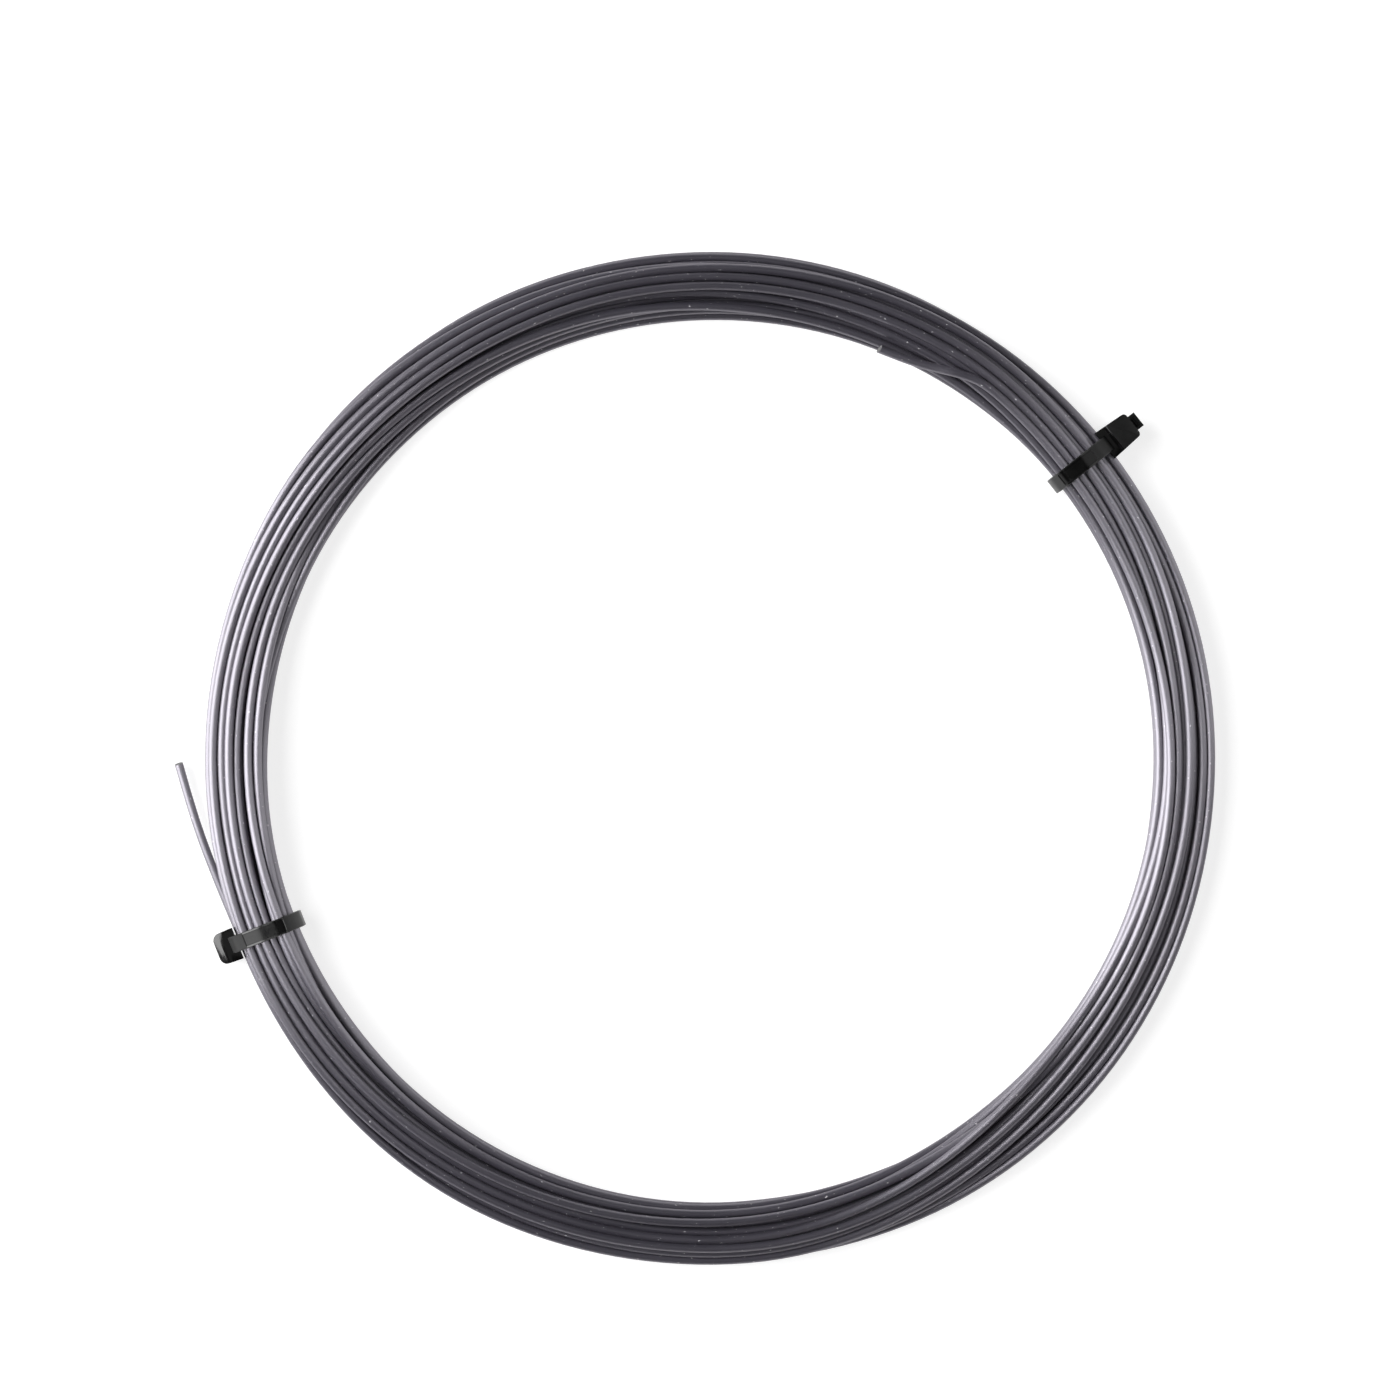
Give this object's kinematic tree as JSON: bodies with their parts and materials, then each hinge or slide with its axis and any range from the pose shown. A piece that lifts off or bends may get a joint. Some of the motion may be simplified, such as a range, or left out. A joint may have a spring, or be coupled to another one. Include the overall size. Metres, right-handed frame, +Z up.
{
  "type": "coil of racket string",
  "caption": "Coil of thin dark monofilament racket string lying flat, its loops held in a ring by black self-locking cable ties, with both string ends free.",
  "frame": {"origin": "centre of the coil, on the surface that it lies on", "axes": "+Z up along the coil's axis, +X to the right and +Y to the top of the reference view, which looks straight down"},
  "size_m": [0.1582, 0.1534, 0.0095],
  "materials": {
    "string": "extruded polyester monofilament, dark anthracite, satin gloss with fine scratches",
    "tie": "moulded black nylon, glossy"
  },
  "bodies": {
    "string": {"string_coil": "string", "string_outer_end": "string", "string_inner_end": "string"},
    "left_tie": {"left_tie": "tie"},
    "left_pawl": {"left_tie_pawl": "tie"},
    "right_tie": {"right_tie": "tie"},
    "right_pawl": {"right_tie_pawl": "tie"}
  },
  "joints": [
    {"name": "left_tie_slide", "type": "hinge", "parent": "string", "child": "left_tie", "pos_m": [0, 0, 0], "axis": [0, 0, 1], "range_deg": [-2, 6]},
    {"name": "right_tie_slide", "type": "hinge", "parent": "string", "child": "right_tie", "pos_m": [0, 0, 0], "axis": [0, 0, 1], "range_deg": [-6, 2]},
    {"name": "left_pawl_flex", "type": "hinge", "parent": "left_tie", "child": "left_pawl", "pos_m": [-0.07444, -0.02917, 0.00359], "axis": [-0.3649, 0.9311, 0], "range_deg": [0, 12], "stiffness_Nm_per_rad": 0.001},
    {"name": "right_pawl_flex", "type": "hinge", "parent": "right_tie", "child": "right_pawl", "pos_m": [0.06191, 0.04907, 0.00439], "axis": [0.6211, -0.7837, 0], "range_deg": [0, 12], "stiffness_Nm_per_rad": 0.001}
  ]
}
